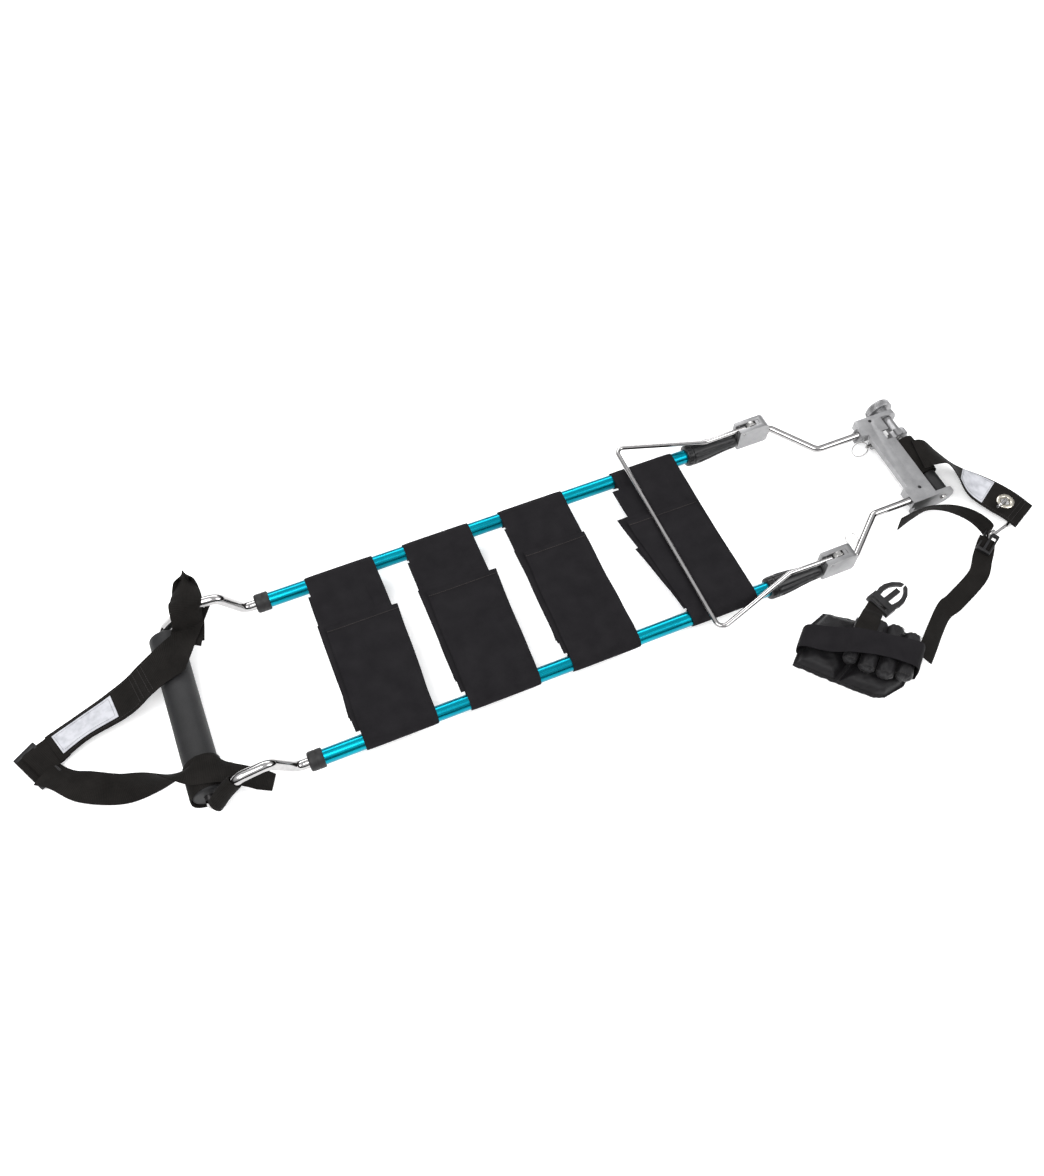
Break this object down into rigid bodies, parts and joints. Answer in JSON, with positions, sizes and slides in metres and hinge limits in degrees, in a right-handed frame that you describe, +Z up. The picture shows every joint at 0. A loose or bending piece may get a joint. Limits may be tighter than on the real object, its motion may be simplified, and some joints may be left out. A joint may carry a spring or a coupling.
{
  "type": "adult traction splint",
  "caption": "Collapsible leg traction splint: padded ring, twin telescoping tubes with fabric cradles, fold-out heel stand, and a ratchet winch with strap and ankle hitch.",
  "frame": {"origin": "centre of the bounding box, at the floor it lies on", "axes": "+X along the side tubes towards the winch, +Y across the tubes away from the ankle hitch, +Z up; it lies underside up, so the folded heel stand is on top"},
  "size_m": [1.3176, 0.4566, 0.0751],
  "materials": {
    "anodised_tube": "bright blue anodised",
    "chrome_steel": "polished",
    "cast_alloy": "as cast, satin",
    "collar_rubber": "matte black",
    "grip_rubber": "semi-gloss black, grooved",
    "pad_foam": "dark grey closed-cell foam",
    "elastic_fabric": "black woven elastic and nylon",
    "webbing": "black ribbed webbing",
    "sewn_label": "white, blank",
    "nylon": "natural nylon",
    "black_plastic": "moulded, fine grain"
  },
  "bodies": {
    "frame": {"side_tube_far": "anodised_tube", "end_collar_far": "collar_rubber", "rod_collet_far": "nylon", "side_tube_near": "anodised_tube", "end_collar_near": "collar_rubber", "rod_collet_near": "nylon", "ischial_ring": "chrome_steel", "ischial_pad": "pad_foam", "ischial_strap_wide": "webbing", "ischial_strap_loop": "webbing", "ischial_strap_near": "webbing", "ischial_strap_wrap": "webbing", "strap_slider": "black_plastic", "ischial_label": "sewn_label", "cradle_band_1": "elastic_fabric", "cradle_band_2": "elastic_fabric", "cradle_band_3": "elastic_fabric", "cradle_band_4": "elastic_fabric", "cradle_flap_4": "elastic_fabric"},
    "far_grip": {"lock_grip_far": "grip_rubber"},
    "near_grip": {"lock_grip_near": "grip_rubber"},
    "extension": {"slide_rod_far": "chrome_steel", "rod_guide_far": "nylon", "slide_rod_near": "chrome_steel", "rod_guide_near": "nylon", "hinge_block_far": "cast_alloy", "hinge_pin_far": "chrome_steel", "latch_spring_far": "chrome_steel", "hinge_block_near": "cast_alloy", "hinge_pin_near": "chrome_steel", "latch_spring_near": "chrome_steel", "winch_bracket": "cast_alloy", "bracket_pin_far": "black_plastic", "bracket_pin_near": "black_plastic", "plunger_spring": "chrome_steel", "traction_strap": "webbing", "strap_grommet": "chrome_steel", "traction_label": "sewn_label"},
    "heel_stand": {"heel_stand_bail": "chrome_steel"},
    "far_latch": {"heel_latch_far": "chrome_steel"},
    "near_latch": {"heel_latch_near": "chrome_steel"},
    "winch_spindle": {"winch_shaft": "chrome_steel", "ratchet_wheel": "cast_alloy", "winch_knob": "cast_alloy", "strap_roll": "webbing", "shaft_spacer": "black_plastic"},
    "ratchet_release": {"release_plunger": "chrome_steel"},
    "pull_ring": {"pull_ring": "chrome_steel"},
    "traction_hook": {"s_hook": "chrome_steel"},
    "ankle_hitch": {"ankle_pad": "elastic_fabric", "ankle_pad_rolls": "elastic_fabric", "hitch_band": "elastic_fabric", "buckle_tab": "webbing", "buckle_male": "black_plastic", "hitch_strap": "webbing", "hitch_strap_tail": "webbing", "strap_keeper": "black_plastic"},
    "cradle_flap_1": {"cradle_flap_1": "elastic_fabric"},
    "cradle_flap_2": {"cradle_flap_2": "elastic_fabric"},
    "cradle_flap_3": {"cradle_flap_3": "elastic_fabric"}
  },
  "joints": [
    {"name": "length_adjust", "type": "slide", "parent": "frame", "child": "extension", "axis": [1, 0, 0], "range_m": [0, 0.265]},
    {"name": "grip_twist_far", "type": "hinge", "parent": "frame", "child": "far_grip", "pos_m": [0.2961, 0.18101, 0.025], "axis": [1, 0, 0], "range_deg": [0, 90]},
    {"name": "grip_twist_near", "type": "hinge", "parent": "frame", "child": "near_grip", "pos_m": [0.2961, -0.04499, 0.025], "axis": [1, 0, 0], "range_deg": [0, 90]},
    {"name": "heel_stand_fold", "type": "hinge", "parent": "extension", "child": "heel_stand", "pos_m": [0.3406, 0.06801, 0.0435], "axis": [0, 1, 0], "range_deg": [0, 95]},
    {"name": "heel_latch_far_slide", "type": "slide", "parent": "extension", "child": "far_latch", "axis": [1, 0, 0], "range_m": [0, 0.003], "stiffness_N_per_m": 600, "deforming": ["latch_spring_far"]},
    {"name": "heel_latch_near_slide", "type": "slide", "parent": "extension", "child": "near_latch", "axis": [1, 0, 0], "range_m": [0, 0.003], "stiffness_N_per_m": 600, "deforming": ["latch_spring_near"]},
    {"name": "winch_spin", "type": "hinge", "parent": "extension", "child": "winch_spindle", "pos_m": [0.5481, 0.06801, 0.0185], "axis": [0, 1, 0], "continuous": true},
    {"name": "ratchet_release_pull", "type": "slide", "parent": "extension", "child": "ratchet_release", "axis": [-1, 0, 0], "range_m": [0, 0.004], "stiffness_N_per_m": 500, "deforming": ["plunger_spring"]},
    {"name": "pull_ring_swing", "type": "hinge", "parent": "ratchet_release", "child": "pull_ring", "pos_m": [0.5036, 0.10651, 0.014], "axis": [0, 1, 0], "range_deg": [0, 40]},
    {"name": "hook_swivel", "type": "hinge", "parent": "extension", "child": "traction_hook", "pos_m": [0.6251, -0.04199, 0.0095], "axis": [0, 0, 1], "range_deg": [0, 15]},
    {"name": "ankle_hitch_swivel", "type": "hinge", "parent": "traction_hook", "child": "ankle_hitch", "pos_m": [0.5671, -0.08099, 0.0095], "axis": [0, 0, 1], "range_deg": [0, 25]},
    {"name": "cradle_flap_1_open", "type": "hinge", "parent": "frame", "child": "cradle_flap_1", "pos_m": [-0.2294, -0.05299, 0.0369], "axis": [1, 0, 0], "range_deg": [0, 170]},
    {"name": "cradle_flap_2_open", "type": "hinge", "parent": "frame", "child": "cradle_flap_2", "pos_m": [-0.0994, -0.05299, 0.0369], "axis": [1, 0, 0], "range_deg": [0, 170]},
    {"name": "cradle_flap_3_open", "type": "hinge", "parent": "frame", "child": "cradle_flap_3", "pos_m": [0.0326, -0.05299, 0.0369], "axis": [1, 0, 0], "range_deg": [0, 170]}
  ]
}
